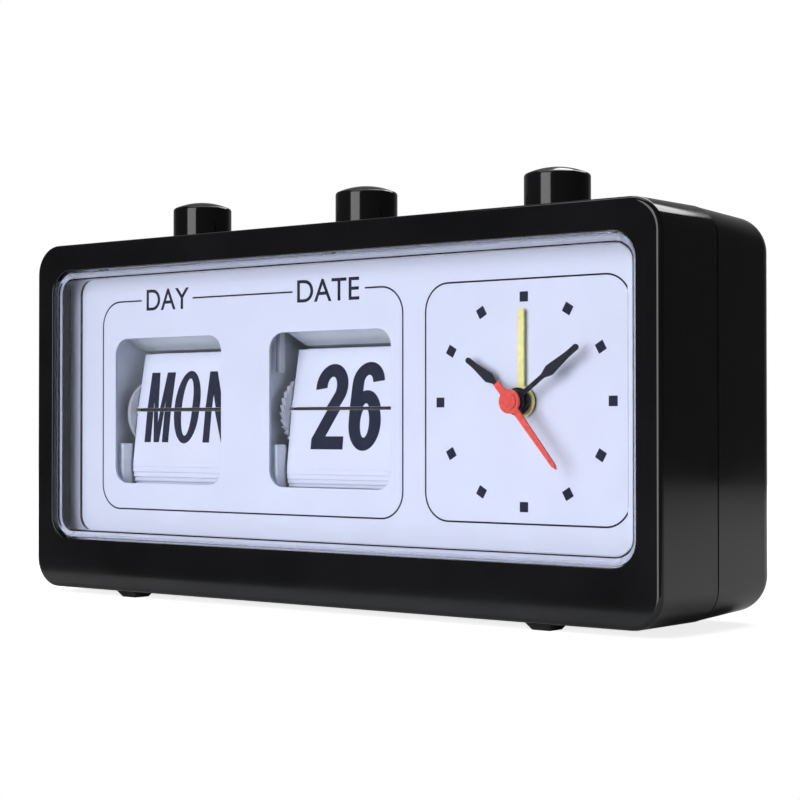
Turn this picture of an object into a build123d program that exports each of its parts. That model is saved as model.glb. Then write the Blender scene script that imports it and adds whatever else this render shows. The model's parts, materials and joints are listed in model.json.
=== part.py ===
from build123d import *
import os
from math import cos, pi, radians, sin

# Flip calendar clock: a black case with three push buttons on top, two card drums
# that show the day and the date, and a quartz alarm movement with a round dial.
# Millimetres. +X is the viewer's right, +Y the back and +Z up. The origin is under
# the middle of the clock, on the surface that its feet stand on.

# Case
case_width = 180.0
case_height = 84.0
case_depth = 47.6
front_depth = 21.5
case_radius = 7.0
wall = 2.2
front_edge_radius = 1.0
seam_radius = 0.15
seam_gap = 0.5
bezel_thickness = 2.2
bezel_side = 5.9
bezel_top = 6.5
bezel_bottom = 11.9
opening_radius = 5.6
opening_edge_radius = 0.4
cover_step = 0.1
cover_draft = 0.7
cover_corner_radius = 8.0
rear_edge_radius = 6.0
lip_length = 2.0
lip_thickness = 1.0
lip_bond = 0.1
fit_gap = 0.3
press_gap = 0.02
running_gap = 0.06
foot_height = 1.6
foot_size = 6.6
foot_taper = 1.15
foot_side = 30.0
front_foot_inset = 2.0
rear_foot_inset = 6.0
foot_peg_radius = 1.6
foot_seat_margin = 1.0

# Lens
lens_recess = 0.6
lens_thickness = 1.2
lens_wall = 1.5
lens_edge_radius = 1.3
lens_inner_radius = 0.6
lens_seat_gap = 0.1
lens_flange = 1.6
lens_flange_thickness = 1.2

# Dial plate
dial_recess = 8.8
dial_thickness = 2.0
dial_radius = 4.2
day_margin = 10.2
unit_gap = 0.9
window_margin = 1.0
window_height = 35.3
window_radius = 4.0
window_rise = 1.2
window_lip = 0.6
window_relief = 2.0
dial_post_radius = 2.1
dial_post_side = 16.0
dial_post_edge = 1.95
dial_screw_radius = 1.0
dial_screw_head = 1.7
dial_screw_head_thickness = 1.3
dial_screw_length = 4.5
screw_slot_half = 0.3
cover_post_side = 11.5
cover_post_rim = 9.5
cover_post_radius = 2.6
cover_boss_wall = 1.0
cover_post_reach = 8.5
cover_screw_radius = 1.15
cover_screw_head = 2.3
cover_screw_head_thickness = 1.6
cover_screw_seat = 4.0
cover_screw_bite = 7.0
cover_screw_spare = 1.0
stake_radius = 1.0
stake_length = 2.6

# Push buttons
button_radius = 7.1
button_height = 10.3
button_dome = 1.6
button_edge_radius = 0.8
day_button_shift = -1.3
alarm_button_shift = -0.6
button_wall = 1.4
button_travel = 4.0
button_flange_radius = 8.5
button_flange_thickness = 1.4
button_flange_drop = 0.6
stem_radius = 1.8
spring_radius = 3.2
spring_wire_radius = 0.3
spring_turns = 7
rail_depth = 10.0
rail_thickness = 2.0
rail_clearance = 0.8
rail_seat_start = 6.5
rail_seat_end = 13.0
rail_seat_depth = 6.0
pawl_margin = 1.6
pawl_width = 1.4
pawl_thickness = 1.5
pawl_gap = 0.45
pawl_rise = 0.75
pawl_collar_radius = 3.2

# Flip card drums
flip_depth = 21.1
flip_rise = 0.6
day_cards_count = 28
date_cards_count = 31
card_length = 13.4
card_thickness = 0.12
card_tail = 0.2
card_margin = 3.6
card_tab_width = 0.5
card_tab_overlap = 1.5
card_pivot_radius = 5.7
card_hole_radius = 0.33
upper_lean = 10.5
lower_lean = 7.0
stack_gain = 0.25
stack_leaning = 5
hub_radius = 4.6
hub_spigot_radius = 3.0
flange_radius = 8.0
flange_thickness = 1.0
ratchet_radius = 8.5
ratchet_depth = 0.8
ratchet_face_share = 0.1
axle_radius = 1.5
frame_wall = 1.2
frame_depth = 22.0
frame_floor_drop = 20.4
hood_rise = 20.1
hood_clearance = 0.75
hood_knee = 0.35
hood_reach = 5.65
hood_fall = 0.85
tab_size = 3.4
tab_thickness = 1.5
tab_rise = 10.0
bracket_width = 3.0
bracket_depth = 3.0
bracket_drop = 7.4
click_thickness = 0.3

# Clock movement
dial_axis_rise = 2.5
movement_width = 52.0
movement_height = 44.0
movement_radius = 3.0
movement_wall = 1.4
movement_front_depth = 6.0
movement_back_depth = 9.6
bridge_thickness = 1.0
lug_size = 5.0
lug_thickness = 2.0
lug_spread = 20.0
movement_left_margin = 2.1
movement_right_margin = 9.6
second_arbor_radius = 0.5
minute_tube_radius = 1.0
hour_tube_radius = 1.6
alarm_tube_radius = 2.3
bushing_radius = 2.9
dial_hole_radius = 3.1
wheel_gap = 0.4
wheel_thickness = 1.0
train_thickness = 0.6
set_arbor_radius = 1.0
train_arbor_radius = 0.4
train_pillar_radius = 1.2
motion_module = 0.4
hour_module = 0.32
train_module = 0.25
tooth_tip_share = 0.6
tooth_root_share = 1.1
tooth_tip_width = 0.1
tooth_root_width = 0.24
cannon_teeth = 12
motion_teeth = 36
motion_pinion_teeth = 12
hour_teeth = 48
alarm_teeth = 40
alarm_pinion_teeth = 16
pinion_teeth = 8
center_teeth = 64
third_teeth = 60
second_teeth = 60
step_teeth = 32
step_bearing = -45.0
rotor_radius = 2.0
rotor_length = 1.6
stator_thickness = 0.8
stator_gap = 0.4
stator_half = 9.0
stator_bar = 2.4
stator_pillar_radius = 0.9
coil_drop = 7.6
coil_thickness = 1.0
board_width = 18.0
board_height = 9.0
board_thickness = 0.8
board_lift = 1.2
board_pillar_spread = 6.0
board_pillar_radius = 1.0
crystal_radius = 1.0
crystal_length = 6.0
buzzer_radius = 7.5
buzzer_thickness = 0.8
buzzer_disc_radius = 5.2
buzzer_disc_thickness = 0.4
buzzer_offset = 13.0
sound_slot_width = 1.6
sound_slot_height = 10.0
sound_slot_pitch = 3.2
sound_slot_count = 4

# Hands
hand_thickness = 0.5
alarm_hand_height = 0.7
hour_hand_height = 2.0
minute_hand_height = 3.4
second_hand_height = 4.9
alarm_hand_length = 19.1
hour_hand_length = 15.9
minute_hand_length = 19.2
second_hand_length = 17.9
second_tail_length = 5.0
hand_stem_width = 0.9
hand_belly_width = 2.3
hand_tip_width = 1.2
hand_stem_share = 0.46
hand_belly_share = 0.56
hand_neck_share = 0.84
hand_tip_share = 0.9
alarm_hand_width = 1.5
second_base_width = 1.5
second_tip_width = 0.9
second_point_length = 1.0
hour_angle = 304.6
minute_angle = 54.6
second_angle = 140.0
alarm_angle = 0.0
hand_boss_radius = 2.5
second_cap_radius = 1.75
alarm_boss_radius = 3.3
hour_boss_radius = 2.9

# Battery and setting knobs
cell_radius = 7.1
cell_length = 50.0
cell_nub_radius = 2.7
cell_nub_length = 1.0
bay_drop = 18.7
bay_gap = 0.2
bay_wall = 1.3
bay_left_margin = 2.6
bay_right_margin = 6.7
contact_thickness = 0.4
contact_room = 1.6
contact_half_height = 5.0
door_overlap = 1.6
door_thickness = 1.6
door_rib_width = 1.0
door_rib_count = 5
knob_radius = 6.0
knob_length = 3.6
knob_stub_radius = 2.4
knob_flutes = 24
knob_flute_radius = 0.5

# Levels from the front of the case to the back
overall_depth = case_depth + fit_gap + knob_length
front_y = -overall_depth / 2
parting_y = front_y + front_depth
cover_front_y = parting_y + seam_gap
rear_y = front_y + case_depth
dial_y = front_y + dial_recess
dial_back_y = dial_y + dial_thickness
bezel_back_y = front_y + bezel_thickness
flip_y = front_y + flip_depth
movement_mid_y = dial_back_y + movement_front_depth
movement_back_y = movement_mid_y + movement_back_depth
movement_floor_y = movement_back_y - movement_wall
cover_floor_y = rear_y - wall
knob_y = rear_y + fit_gap

# Levels from the table up
mid_z = foot_height + case_height / 2
case_top_z = foot_height + case_height
cover_wall = wall + fit_gap + lip_bond - cover_step
ceiling_z = case_top_z - cover_step - cover_wall
button_top_z = case_top_z + button_height
flange_top_z = ceiling_z - button_flange_drop
flange_bottom_z = flange_top_z - button_flange_thickness
cap_ceiling_z = button_top_z - button_dome - button_wall
rail_top_z = flange_bottom_z - button_travel - rail_clearance
rail_bottom_z = rail_top_z - rail_thickness
arm_top_z = rail_bottom_z - rail_clearance
arm_bottom_z = arm_top_z - pawl_thickness
opening_height = case_height - bezel_top - bezel_bottom
opening_z = foot_height + bezel_bottom + opening_height / 2
window_z = mid_z + window_rise
flip_z = mid_z + flip_rise
axis_z = mid_z + dial_axis_rise
movement_top_z = axis_z + movement_height / 2
movement_bottom_z = axis_z - movement_height / 2
bay_z = axis_z - bay_drop
frame_floor_z = flip_z - frame_floor_drop

# Outlines and places that several pieces share
inner_width = case_width - 2 * wall
inner_height = case_height - 2 * wall
opening_width = case_width - 2 * bezel_side
lens_width = opening_width - 2 * fit_gap
lens_height = opening_height - 2 * fit_gap
lens_radius = opening_radius - fit_gap
bay_half = cell_radius + bay_gap
cell_half = cell_length / 2 + cell_nub_length + contact_room
bay_outer_half = cell_half + bay_wall
clock_left = max(bay_outer_half + bay_left_margin - tab_size, movement_width / 2 + movement_left_margin)
clock_right = max(bay_outer_half + bay_right_margin, movement_width / 2 + movement_right_margin)
unit_half = (inner_width - day_margin - unit_gap - clock_left - clock_right) / 4
day_x = -inner_width / 2 + day_margin + unit_half
date_x = day_x + 2 * unit_half + unit_gap
clock_x = inner_width / 2 - clock_right
frame_outer_half = unit_half - tab_size
frame_inner_half = frame_outer_half - frame_wall
card_width = 2 * (frame_inner_half - card_margin)
window_width = card_width + 2 * window_margin
pawl_offset = card_width / 2 + pawl_margin
day_button_x = day_x + day_button_shift
alarm_button_x = clock_x + alarm_button_shift
button_places = [(day_button_x, parting_y), (date_x, parting_y), (alarm_button_x, parting_y)]
dial_post_z = (mid_z + inner_height / 2 - dial_post_edge, mid_z - inner_height / 2 + dial_post_edge)
dial_post_x = case_width / 2 - dial_post_side
dial_post_places = [(x, z) for x in (-dial_post_x, 0, dial_post_x) for z in dial_post_z]
cover_post_x = case_width / 2 - cover_post_side
cover_post_z = case_height / 2 - cover_post_rim
cover_post_places = [(x, mid_z + z) for x in (-cover_post_x, cover_post_x)
                     for z in (-cover_post_z, cover_post_z)]
cover_post_end_y = parting_y + cover_post_reach
cover_seat_y = cover_post_end_y + cover_screw_seat
foot_x_places = (foot_side - case_width / 2, case_width / 2 - foot_side)
foot_y_places = (front_y + front_foot_inset + foot_size / 2, rear_y - rear_foot_inset - foot_size / 2)
foot_places = [(x, y) for x in foot_x_places for y in foot_y_places]
lug_places = [(clock_x + x, axis_z + z * (movement_height + lug_size) / 2)
              for x in (-lug_spread, lug_spread) for z in (-1, 1)]

os.makedirs("parts", exist_ok=True)


# Helpers that add a plain form to the part being built

def layer(y):
    """Upright plane at y, drawn in X and Z, from which an extrusion grows forward."""
    return Plane(origin=(0, y, 0), x_dir=(1, 0, 0), z_dir=(0, -1, 0))


def block(x_range, y_range, z_range, mode=Mode.ADD):
    """Box between two limits on each axis."""
    limits = (x_range, y_range, z_range)
    with Locations(tuple((low + high) / 2 for low, high in limits)):
        Box(*(high - low for low, high in limits), mode=mode)


def rod(x, z, radius, y_range, mode=Mode.ADD):
    """Round rod that runs from front to back."""
    with Locations(Location((x, sum(y_range) / 2, z), (90, 0, 0))):
        Cylinder(radius, y_range[1] - y_range[0], mode=mode)


def cross_rod(y, z, radius, x_range, mode=Mode.ADD):
    """Round rod that runs from left to right."""
    with Locations(Location((sum(x_range) / 2, y, z), (0, 90, 0))):
        Cylinder(radius, x_range[1] - x_range[0], mode=mode)


def upright(x, y, radius, z_range, mode=Mode.ADD):
    """Round rod that stands upright."""
    with Locations((x, y, sum(z_range) / 2)):
        Cylinder(radius, z_range[1] - z_range[0], mode=mode)


def gear(x, z, y_range, teeth, module, turn):
    """Spur gear with slim straight teeth, one of them at the angle turn."""
    pitch_radius = teeth * module / 2
    tip = pitch_radius + tooth_tip_share * module
    root = pitch_radius - tooth_root_share * module
    pitch = 2 * pi / teeth
    corners = ((root, -tooth_root_width), (tip, -tooth_tip_width),
               (tip, tooth_tip_width), (root, tooth_root_width))
    points = []
    for tooth in range(teeth):
        for radius, share in corners:
            angle = radians(turn) + (tooth + share) * pitch
            points.append((x + radius * cos(angle), z + radius * sin(angle)))
    with BuildSketch(layer(y_range[1])) as outline:
        with BuildLine():
            Polyline(*points, close=True)
        make_face()
    extrude(outline.sketch, amount=y_range[1] - y_range[0])


def save(piece, label):
    """Name a finished piece and write it out."""
    piece.part.label = label
    export_step(piece.part, f"parts/{label}.step")


# Front housing: bezel and the front half of the side walls

with BuildPart() as front_housing:
    with BuildSketch(layer(parting_y)):
        with Locations((0, mid_z)):
            RectangleRounded(case_width, case_height, case_radius)
    extrude(amount=front_depth)
    fillet(front_housing.faces().sort_by(Axis.Y)[0].edges(), front_edge_radius)
    fillet(front_housing.faces().sort_by(Axis.Y)[-1].edges(), seam_radius)
    with BuildSketch(layer(parting_y)):
        with Locations((0, mid_z)):
            RectangleRounded(inner_width, inner_height, case_radius - wall)
    extrude(amount=front_depth - bezel_thickness, mode=Mode.SUBTRACT)
    with BuildSketch(layer(bezel_back_y)):
        with Locations((0, opening_z)):
            RectangleRounded(opening_width, opening_height, opening_radius)
    extrude(amount=bezel_thickness, mode=Mode.SUBTRACT)
    fillet(front_housing.faces().sort_by(Axis.Y)[0].inner_wires()[0].edges(), opening_edge_radius)
    for post_x, post_z in dial_post_places:
        rod(post_x, post_z, dial_post_radius, (bezel_back_y, dial_y))
        rod(post_x, post_z, dial_screw_radius, (dial_y - dial_screw_length, dial_y), Mode.SUBTRACT)
    for button_x, button_y in button_places:
        upright(button_x, button_y, button_radius + fit_gap, (ceiling_z, case_top_z + wall), Mode.SUBTRACT)
    for foot_x, foot_y in foot_places[0::2]:
        upright(foot_x, foot_y, foot_peg_radius, (0, foot_height + wall), Mode.SUBTRACT)
save(front_housing, "front_housing")


# Rear cover: a tub with drafted sides that slips a lip into the front housing

def cover_tub(side, back):
    """Outer form of the rear cover, or its hollow when set in by the side and back walls."""
    width = case_width - 2 * cover_step - 2 * side
    height = case_height - 2 * cover_step - 2 * side
    with BuildPart() as tub:
        with BuildSketch(layer(cover_front_y)):
            with Locations((0, mid_z)):
                RectangleRounded(width, height, case_radius - cover_step - side)
        with BuildSketch(layer(rear_y - back)):
            with Locations((0, mid_z)):
                RectangleRounded(width - 2 * cover_draft, height - 2 * cover_draft,
                                 cover_corner_radius - side)
        loft()
        fillet(tub.faces().sort_by(Axis.Y)[-1].edges(), rear_edge_radius - back)
    return tub.part


motion_distance = (cannon_teeth + motion_teeth) * motion_module / 2
alarm_distance = (alarm_teeth + alarm_pinion_teeth) * motion_module / 2
motion_x = clock_x - motion_distance
alarm_set_x = clock_x + alarm_distance
buzzer_x = clock_x + buzzer_offset
buzzer_z = axis_z + buzzer_offset
cover_outside = cover_tub(0, 0)
cover_hollow = cover_tub(cover_wall, wall)

with BuildPart() as rear_cover:
    add(cover_outside)
    fillet(rear_cover.faces().sort_by(Axis.Y)[0].edges(), seam_radius)
    add(cover_hollow, mode=Mode.SUBTRACT)
    with BuildSketch(layer(parting_y)):
        with Locations((0, mid_z)):
            RectangleRounded(inner_width - 2 * fit_gap, inner_height - 2 * fit_gap,
                             case_radius - wall - fit_gap)
            lip_inset = 2 * (fit_gap + lip_thickness)
            RectangleRounded(inner_width - lip_inset, inner_height - lip_inset,
                             case_radius - wall - fit_gap - lip_thickness, mode=Mode.SUBTRACT)
    extrude(amount=lip_length, both=True)
    for button_x, button_y in button_places:
        upright(button_x, button_y, button_radius + fit_gap, (ceiling_z, case_top_z + wall), Mode.SUBTRACT)
        upright(button_x, button_y, button_flange_radius + fit_gap, (rail_top_z, ceiling_z), Mode.SUBTRACT)
    for foot_x, foot_y in foot_places[1::2]:
        seat_half = foot_size / 2 + foot_seat_margin
        block((foot_x - seat_half, foot_x + seat_half), (foot_y - seat_half, foot_y + seat_half),
              (foot_height, foot_height + wall + cover_step))
        upright(foot_x, foot_y, foot_peg_radius, (0, foot_height + wall), Mode.SUBTRACT)
    for post_x, post_z in cover_post_places:
        rod(post_x, post_z, cover_post_radius + cover_boss_wall, (cover_post_end_y, cover_floor_y + wall / 2))
        rod(post_x, post_z, cover_screw_radius + fit_gap, (cover_post_end_y, rear_y), Mode.SUBTRACT)
        rod(post_x, post_z, cover_screw_head + fit_gap, (cover_seat_y, rear_y), Mode.SUBTRACT)
    for knob_x in (motion_x, alarm_set_x):
        rod(knob_x, axis_z, knob_stub_radius + fit_gap, (cover_floor_y, rear_y), Mode.SUBTRACT)
    for slot in range(sound_slot_count):
        slot_x = buzzer_x + (slot - (sound_slot_count - 1) / 2) * sound_slot_pitch
        with BuildSketch(layer(rear_y)):
            with Locations((slot_x, buzzer_z)):
                SlotOverall(sound_slot_height, sound_slot_width, rotation=90)
        extrude(amount=wall, mode=Mode.SUBTRACT)
    block((clock_x - cell_half, clock_x + cell_half), (cover_floor_y, rear_y),
          (bay_z - bay_half, bay_z + bay_half), Mode.SUBTRACT)
    door_half_x = cell_half + door_overlap
    door_half_z = bay_half + door_overlap
    block((clock_x - door_half_x - fit_gap, clock_x + door_half_x + fit_gap),
          (rear_y - door_thickness, rear_y),
          (bay_z - door_half_z - fit_gap, bay_z + door_half_z + fit_gap), Mode.SUBTRACT)
save(rear_cover, "rear_cover")

# Battery door, with finger ribs

with BuildPart() as battery_door:
    block((clock_x - door_half_x, clock_x + door_half_x), (rear_y - door_thickness, rear_y),
          (bay_z - door_half_z, bay_z + door_half_z))
    for rib in range(door_rib_count):
        rib_x = clock_x + (2 * rib - door_rib_count + 1) * door_rib_width
        block((rib_x - door_rib_width / 2, rib_x + door_rib_width / 2), (rear_y, rear_y + door_rib_width / 2),
              (bay_z - bay_half / 2, bay_z + bay_half / 2))
save(battery_door, "battery_door")

# Feet: tapered pads, each with a peg in the case

with BuildPart() as feet:
    for foot_x, foot_y in foot_places:
        with BuildSketch(Plane(origin=(foot_x, foot_y, foot_height))):
            Rectangle(foot_size, foot_size)
        with BuildSketch(Plane(origin=(foot_x, foot_y, 0))):
            Rectangle(foot_size - 2 * foot_taper, foot_size - 2 * foot_taper)
        loft()
        upright(foot_x, foot_y, foot_peg_radius - press_gap, (foot_height, foot_height + wall))
save(feet, "feet")

# Screws that hold the dial plate and the rear cover

with BuildPart() as dial_screws:
    for post_x, post_z in dial_post_places:
        rod(post_x, post_z, dial_screw_radius - press_gap,
            (dial_y - dial_screw_length + fit_gap, dial_back_y))
        rod(post_x, post_z, dial_screw_head, (dial_back_y, dial_back_y + dial_screw_head_thickness))
        block((post_x - dial_screw_head / 2, post_x + dial_screw_head / 2),
              (dial_back_y + dial_screw_head_thickness / 2, dial_back_y + dial_screw_head_thickness),
              (post_z - screw_slot_half, post_z + screw_slot_half), Mode.SUBTRACT)
save(dial_screws, "dial_screws")

with BuildPart() as cover_screws:
    for post_x, post_z in cover_post_places:
        head_y = cover_seat_y + cover_screw_head_thickness
        rod(post_x, post_z, cover_screw_radius - press_gap,
            (cover_post_end_y - cover_screw_bite, cover_seat_y))
        rod(post_x, post_z, cover_screw_head, (cover_seat_y, head_y))
        slot_half = cover_screw_head / 2
        for slot_x, slot_z in ((slot_half, screw_slot_half), (screw_slot_half, slot_half)):
            block((post_x - slot_x, post_x + slot_x), (head_y - cover_screw_head_thickness / 2, head_y),
                  (post_z - slot_z, post_z + slot_z), Mode.SUBTRACT)
save(cover_screws, "cover_screws")

# Lens: a clear tray whose rim ends just off the dial, held behind the bezel by a flange

with BuildPart() as lens:
    with BuildSketch(layer(dial_y - lens_seat_gap)):
        with Locations((0, opening_z)):
            RectangleRounded(lens_width, lens_height, lens_radius)
    extrude(amount=dial_recess - lens_recess - lens_seat_gap)
    fillet(lens.faces().sort_by(Axis.Y)[0].edges(), lens_edge_radius)
    with BuildSketch(layer(bezel_back_y + lens_flange_thickness)):
        with Locations((0, opening_z)):
            RectangleRounded(opening_width + 2 * lens_flange, opening_height + 2 * lens_flange,
                             opening_radius + lens_flange)
    extrude(amount=lens_flange_thickness)
    with BuildSketch(layer(dial_y)):
        with Locations((0, opening_z)):
            RectangleRounded(lens_width - 2 * lens_wall, lens_height - 2 * lens_wall, lens_radius - lens_wall)
    extrude(amount=dial_recess - lens_recess - lens_thickness, mode=Mode.SUBTRACT)
    inner_face = lens.faces().filter_by(Axis.Y).sort_by(Axis.Y)[1]
    fillet(inner_face.edges(), lens_inner_radius)
    for post_x, post_z in dial_post_places:
        rod(post_x, post_z, dial_post_radius + fit_gap, (bezel_back_y, bezel_back_y + lens_flange_thickness),
            Mode.SUBTRACT)
save(lens, "lens")

# Dial plate: the chassis that carries the drums, the movement and the rear cover

plate_width = inner_width - 2 * fit_gap
plate_height = inner_height - 2 * fit_gap
tab_z = (flip_z - tab_rise, flip_z + tab_rise)
stake_places = [(x + side * (frame_outer_half + tab_size / 2), z)
                for x in (day_x, date_x) for side in (-1, 1) for z in tab_z]

with BuildPart() as dial_plate:
    with BuildSketch(layer(dial_back_y)):
        with Locations((0, mid_z)):
            RectangleRounded(plate_width, plate_height, dial_radius)
        with Locations((day_x, window_z), (date_x, window_z)):
            RectangleRounded(window_width, window_height, window_radius, mode=Mode.SUBTRACT)
        with Locations((clock_x, axis_z)):
            Circle(dial_hole_radius, mode=Mode.SUBTRACT)
        with Locations(*dial_post_places):
            Circle(dial_screw_radius + fit_gap, mode=Mode.SUBTRACT)
    extrude(amount=dial_thickness)
    with BuildSketch(layer(dial_back_y)):
        with Locations((day_x, window_z), (date_x, window_z)):
            RectangleRounded(window_width + 2 * window_relief, window_height + 2 * window_relief,
                             window_radius + window_relief)
    extrude(amount=dial_thickness - window_lip, mode=Mode.SUBTRACT)
    for post_x, post_z in cover_post_places:
        rod(post_x, post_z, cover_post_radius, (dial_back_y, cover_post_end_y))
        rod(post_x, post_z, cover_screw_radius,
            (cover_post_end_y - cover_screw_bite - cover_screw_spare, cover_post_end_y), Mode.SUBTRACT)
    for stake_x, stake_z in stake_places:
        rod(stake_x, stake_z, stake_radius, (dial_back_y, dial_back_y + stake_length))
    for lug_x, lug_z in lug_places:
        rod(lug_x, lug_z, dial_screw_radius, (dial_y + dial_thickness / 4, dial_back_y), Mode.SUBTRACT)
save(dial_plate, "dial_plate")

# Button rail: guides the three stems and seats their springs

with BuildPart() as button_rail:
    block((day_x - frame_outer_half, clock_x + rail_seat_end),
          (parting_y - rail_depth / 2, parting_y + rail_depth / 2), (rail_bottom_z, rail_top_z))
    for button_x, button_y in button_places:
        upright(button_x, button_y, stem_radius + fit_gap, (rail_bottom_z, rail_top_z), Mode.SUBTRACT)
save(button_rail, "button_rail")


# Push buttons: domed caps with a retaining flange and a long stem, each on a coil spring

def button_cap(x, stem_end_z):
    """Hollow domed cap, its flange and its stem."""
    shoulder_z = button_top_z - button_dome
    with BuildPart() as cap:
        with BuildSketch(Plane(origin=(x, parting_y, 0), x_dir=(1, 0, 0), z_dir=(0, -1, 0))) as half:
            with BuildLine():
                crown = RadiusArc((button_radius, shoulder_z), (0, button_top_z),
                                  -(button_radius ** 2 + button_dome ** 2) / (2 * button_dome))
                Polyline(crown @ 1, (0, stem_end_z), (stem_radius, stem_end_z), (stem_radius, cap_ceiling_z),
                         (button_radius - button_wall, cap_ceiling_z),
                         (button_radius - button_wall, flange_bottom_z),
                         (button_flange_radius, flange_bottom_z), (button_flange_radius, flange_top_z),
                         (button_radius, flange_top_z), crown @ 0)
            make_face()
            fillet(half.vertices().sort_by_distance((button_radius, shoulder_z))[0], button_edge_radius)
        revolve(axis=Axis((x, parting_y, 0), (0, 0, 1)))
    return cap


def button_spring(x):
    """Coil spring between the rail and the underside of the cap."""
    low = rail_top_z + spring_wire_radius + press_gap
    high = cap_ceiling_z - spring_wire_radius - press_gap
    with BuildPart() as coil:
        with BuildLine() as turns:
            Helix((high - low) / spring_turns, high - low, spring_radius, center=(x, parting_y, low))
        with BuildSketch(Plane(origin=turns.line @ 0, z_dir=turns.line % 0)):
            Circle(spring_wire_radius)
        sweep(is_frenet=True)
    return coil


contact_plate_z = rail_bottom_z - rail_clearance
for label, x, stem_end_z in (("day_button", day_button_x, arm_bottom_z - rail_clearance),
                             ("date_button", date_x, arm_bottom_z - rail_clearance),
                             ("alarm_button", alarm_button_x, contact_plate_z - contact_thickness)):
    save(button_cap(x, stem_end_z), label)
    save(button_spring(x), label + "_spring")

# Drum pawls: a collar on the stem and an arm that reaches the ratchet from above


def pawl(stem_x, x, side):
    """Pawl arm from a stem to the given side of a drum, bent down in front of the ratchet."""
    pawl_x = x + side * pawl_offset
    tip_z = flip_z + ratchet_radius + pawl_rise
    pressed = tip_z - button_travel - flip_z
    pawl_back_y = flip_y - (ratchet_radius ** 2 - pressed ** 2) ** 0.5 - pawl_gap
    pawl_front_y = pawl_back_y - pawl_thickness
    reach = sorted((stem_x - side * pawl_collar_radius / 2, pawl_x + side * pawl_width / 2))
    with BuildPart() as arm:
        upright(stem_x, parting_y, pawl_collar_radius, (arm_bottom_z, arm_top_z))
        block((stem_x - pawl_collar_radius / 2, stem_x + pawl_collar_radius / 2), (pawl_front_y, parting_y),
              (arm_bottom_z, arm_top_z))
        block(reach, (pawl_front_y, pawl_back_y), (arm_bottom_z, arm_top_z))
        block((pawl_x - pawl_width / 2, pawl_x + pawl_width / 2), (pawl_front_y, pawl_back_y),
              (tip_z, arm_top_z))
        upright(stem_x, parting_y, stem_radius + press_gap, (arm_bottom_z, arm_top_z), Mode.SUBTRACT)
    return arm


# Card drums

def card_step(count):
    """Angle from one card to the next."""
    return 360.0 / count


def card_pose(count, index):
    """Pivot angle and card direction of a card: 0 is the front upper card, -1 the front lower one."""
    step = card_step(count)
    first = (upper_lean + lower_lean + step) / 2
    pivot = first + index * step
    if index >= 0:
        direction = min(pivot - first + 90 + upper_lean, 270)
    else:
        place = -1 - index
        leaning = place < stack_leaning
        direction = 270 + lower_lean + stack_gain * place ** 2 if leaning else 270
    return pivot, direction


def card_sweep(count):
    """Radius that the tips of the upper cards reach as the drum turns."""
    bend = radians(90 + upper_lean - card_pose(count, 0)[0])
    return (card_pivot_radius ** 2 + card_length ** 2
            + 2 * card_pivot_radius * card_length * cos(bend)) ** 0.5


def add_card(x, count, index):
    """Thin card with a flat tab at each end of its pivot edge."""
    pivot, direction = (radians(angle) for angle in card_pose(count, index))
    tab_end = card_width / 2 + fit_gap + flange_thickness - running_gap
    tab_start = card_width / 2 - card_tab_overlap
    pivot_y = flip_y - card_pivot_radius * cos(pivot)
    pivot_z = flip_z + card_pivot_radius * sin(pivot)
    sheet = Plane(origin=(x, pivot_y, pivot_z), x_dir=(1, 0, 0), z_dir=(0, -sin(direction), -cos(direction)))
    with BuildSketch(sheet) as outline:
        with Locations((0, (card_length - card_tail) / 2)):
            Rectangle(card_width, card_length + card_tail)
        for side in (-1, 1):
            with Locations((side * (tab_start + tab_end) / 2, 0)):
                Rectangle(tab_end - tab_start, card_tab_width)
    extrude(outline.sketch, amount=card_thickness / 2, both=True)


def drum_flange(x, count, side, toothed):
    """Disc with a hole for each card tab, and ratchet teeth where the pawl works."""
    inner = card_width / 2 + fit_gap
    step = card_step(count)
    first = card_pose(count, 0)[0]
    face = Plane(origin=(x + side * inner, flip_y, flip_z), x_dir=(0, -1, 0), z_dir=(side, 0, 0))
    upward = -side
    with BuildSketch(face) as disc:
        if toothed:
            points = []
            for tooth in range(count):
                root = ratchet_radius - ratchet_depth
                for radius, share in ((ratchet_radius, 0.0), (root, ratchet_face_share)):
                    angle = radians((tooth + share) * step)
                    points.append((radius * cos(angle), upward * radius * sin(angle)))
            with BuildLine():
                Polyline(*points, close=True)
            make_face()
        else:
            Circle(flange_radius)
        Circle(hub_spigot_radius + press_gap, mode=Mode.SUBTRACT)
        holes = [radians(first + index * step) for index in range(count)]
        with Locations(*[(card_pivot_radius * cos(a), upward * card_pivot_radius * sin(a)) for a in holes]):
            Circle(card_hole_radius, mode=Mode.SUBTRACT)
    extrude(disc.sketch, amount=flange_thickness)


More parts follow.
